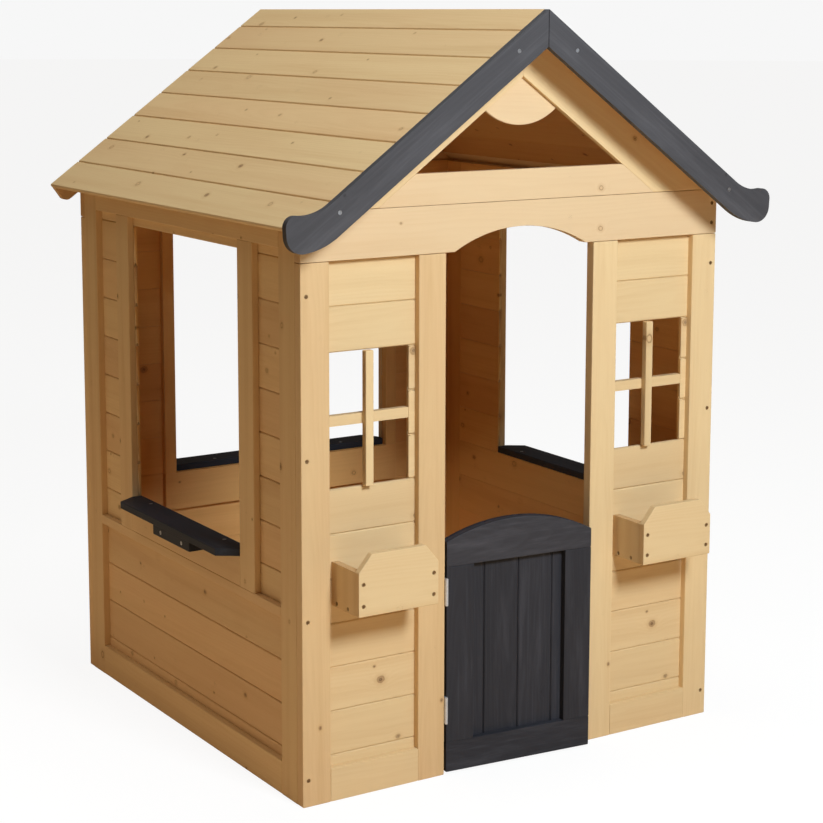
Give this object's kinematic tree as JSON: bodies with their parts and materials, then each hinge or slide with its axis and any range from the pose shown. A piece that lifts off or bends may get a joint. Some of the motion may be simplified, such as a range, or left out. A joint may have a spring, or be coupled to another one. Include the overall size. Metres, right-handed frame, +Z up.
{
  "type": "timber playhouse",
  "caption": "Child's timber playhouse: boarded walls, open windows with shelves, planters, a pitched boarded roof with hook-ended barge boards and an arched half door on butt hinges.",
  "frame": {"origin": "on the ground, under the centre of the object's bounding box", "axes": "+Z up; the front wall with the door faces -Y; +X is to the right of someone looking at the front"},
  "size_m": [1.1152, 1.134, 1.4709],
  "materials": {
    "honey_timber": "honey-stained softwood, satin",
    "charcoal_timber": "charcoal-painted softwood, satin",
    "hinge_steel": "bright zinc-plated steel",
    "bright_screw": "bright zinc-plated steel",
    "dark_screw": "dark steel, set below the surface"
  },
  "bodies": {
    "house": {"front_left_boards": "honey_timber", "front_right_boards": "honey_timber", "left_wall_boards": "honey_timber", "right_wall_boards": "honey_timber", "rear_wall_boards": "honey_timber", "front_left_corner_post": "honey_timber", "front_right_corner_post": "honey_timber", "left_door_post": "honey_timber", "right_door_post": "honey_timber", "rear_left_corner_post": "honey_timber", "rear_right_corner_post": "honey_timber", "left_wall_posts": "honey_timber", "right_wall_posts": "honey_timber", "front_bottom_rails": "honey_timber", "rear_bottom_rail": "honey_timber", "side_bottom_rails": "honey_timber", "front_header": "honey_timber", "rear_header": "honey_timber", "front_gable_board": "honey_timber", "rear_gable_board": "honey_timber", "side_top_rails": "honey_timber", "left_window_stiles": "honey_timber", "right_window_stiles": "honey_timber", "rear_window_stiles": "honey_timber", "window_sill_rails": "honey_timber", "window_sill_strips": "honey_timber", "window_uprights": "honey_timber", "window_crossbars": "honey_timber", "inner_window_battens": "honey_timber", "inner_sill_board": "honey_timber", "left_shelf": "charcoal_timber", "right_shelf": "charcoal_timber", "rear_shelf": "charcoal_timber", "shelf_blocks": "charcoal_timber", "left_planter_front": "honey_timber", "left_planter_sides": "honey_timber", "left_planter_floor": "honey_timber", "right_planter_front": "honey_timber", "right_planter_sides": "honey_timber", "right_planter_floor": "honey_timber", "front_left_rafter": "honey_timber", "front_right_rafter": "honey_timber", "rear_rafters": "honey_timber", "front_gusset": "honey_timber", "rear_gusset": "honey_timber", "left_roof_boards": "honey_timber", "right_roof_boards": "honey_timber", "roof_battens": "honey_timber", "left_barge_board": "charcoal_timber", "right_barge_board": "charcoal_timber", "hinge_post_leaves": "hinge_steel", "hinge_pins": "hinge_steel", "timber_screws": "dark_screw", "trim_screws": "bright_screw"},
    "door": {"door_top_rail": "charcoal_timber", "door_bottom_rail": "charcoal_timber", "door_stiles": "charcoal_timber", "door_boards": "charcoal_timber", "hinge_door_leaves": "hinge_steel"}
  },
  "joints": [
    {"name": "door_hinge", "type": "hinge", "parent": "house", "child": "door", "pos_m": [-0.171, -0.4854, 0.248], "axis": [0, 0, -1], "range_deg": [-4.7, 115]}
  ]
}
